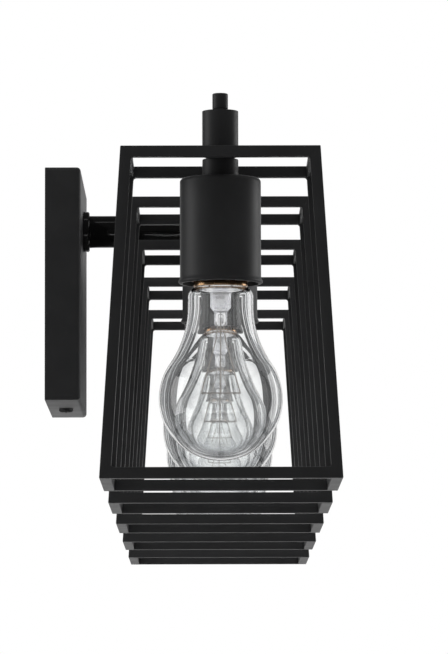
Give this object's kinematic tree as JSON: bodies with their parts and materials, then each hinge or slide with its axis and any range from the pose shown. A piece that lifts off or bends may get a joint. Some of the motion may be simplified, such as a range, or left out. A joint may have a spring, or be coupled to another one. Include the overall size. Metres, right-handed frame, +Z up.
{
  "type": "vanity light",
  "caption": "Wall vanity bar: clear bulbs in tapered open cages of square bar, hung from a rail on a short arm and a square backplate.",
  "frame": {"origin": "on the wall plane, at the centre of the backplate and of the mounting bracket's screw slots", "axes": "+X runs along the light, +Y points into the wall, +Z is up; the lights hang on the -Y side, open ends down"},
  "size_m": [0.892, 0.1559, 0.2015],
  "materials": {
    "black_finish": "satin black powder coat",
    "black_gloss": "gloss black",
    "zinc_steel": "zinc plated",
    "brass": "rolled brass",
    "phenolic": "moulded brown phenolic",
    "hot_insulation": "wire insulation",
    "neutral_insulation": "wire insulation",
    "ground_insulation": "wire insulation",
    "green_steel": "green passivated",
    "connector_shell": "moulded",
    "clear_glass": "clear blown glass",
    "stem_glass": "clear stem glass with bright wires",
    "base_metal": "rolled brass"
  },
  "bodies": {
    "fixture": {"backplate": "black_finish", "mounting_bracket": "zinc_steel", "backplate_screws": "black_finish", "ground_screw": "green_steel", "arm_tube": "black_gloss", "arm_collar": "black_gloss", "arm_end_plug": "zinc_steel", "arm_nipple": "zinc_steel", "arm_locknut": "zinc_steel", "arm_spigot": "black_finish", "hot_wires": "hot_insulation", "neutral_wires": "neutral_insulation", "ground_wire": "ground_insulation", "wire_connectors": "connector_shell", "finial_screws": "black_finish", "spacer_collars": "black_finish", "threaded_nipples": "zinc_steel", "nipple_nuts": "zinc_steel", "screw_shells": "brass", "contact_tongues": "brass", "rail_tube_1": "black_finish", "rail_tube_2": "black_finish", "rail_tube_3": "black_finish", "rail_tube_4": "black_finish", "cage_1": "black_finish", "cage_2": "black_finish", "cage_3": "black_finish", "cage_4": "black_finish", "cage_5": "black_finish", "coupling_1": "black_finish", "coupling_2": "black_finish", "coupling_3": "black_finish", "coupling_4": "black_finish", "coupling_5": "black_finish", "socket_cup_1": "black_finish", "socket_cup_2": "black_finish", "socket_cup_3": "black_finish", "socket_cup_4": "black_finish", "socket_cup_5": "black_finish", "lampholder_1": "phenolic", "lampholder_2": "phenolic", "lampholder_3": "phenolic", "lampholder_4": "phenolic", "lampholder_5": "phenolic"},
    "bulb_1": {"bulb_1_glass": "clear_glass", "bulb_1_base": "base_metal", "bulb_1_mount": "stem_glass"},
    "bulb_2": {"bulb_2_glass": "clear_glass", "bulb_2_base": "base_metal", "bulb_2_mount": "stem_glass"},
    "bulb_3": {"bulb_3_glass": "clear_glass", "bulb_3_base": "base_metal", "bulb_3_mount": "stem_glass"},
    "bulb_4": {"bulb_4_glass": "clear_glass", "bulb_4_base": "base_metal", "bulb_4_mount": "stem_glass"},
    "bulb_5": {"bulb_5_glass": "clear_glass", "bulb_5_base": "base_metal", "bulb_5_mount": "stem_glass"}
  },
  "joints": [
    {"name": "bulb_1_unscrew", "type": "slide", "parent": "fixture", "child": "bulb_1", "axis": [0, 0, -1], "range_m": [0, 0.028]},
    {"name": "bulb_2_unscrew", "type": "slide", "parent": "fixture", "child": "bulb_2", "axis": [0, 0, -1], "range_m": [0, 0.028]},
    {"name": "bulb_3_unscrew", "type": "slide", "parent": "fixture", "child": "bulb_3", "axis": [0, 0, -1], "range_m": [0, 0.028]},
    {"name": "bulb_4_unscrew", "type": "slide", "parent": "fixture", "child": "bulb_4", "axis": [0, 0, -1], "range_m": [0, 0.028]},
    {"name": "bulb_5_unscrew", "type": "slide", "parent": "fixture", "child": "bulb_5", "axis": [0, 0, -1], "range_m": [0, 0.028]}
  ]
}
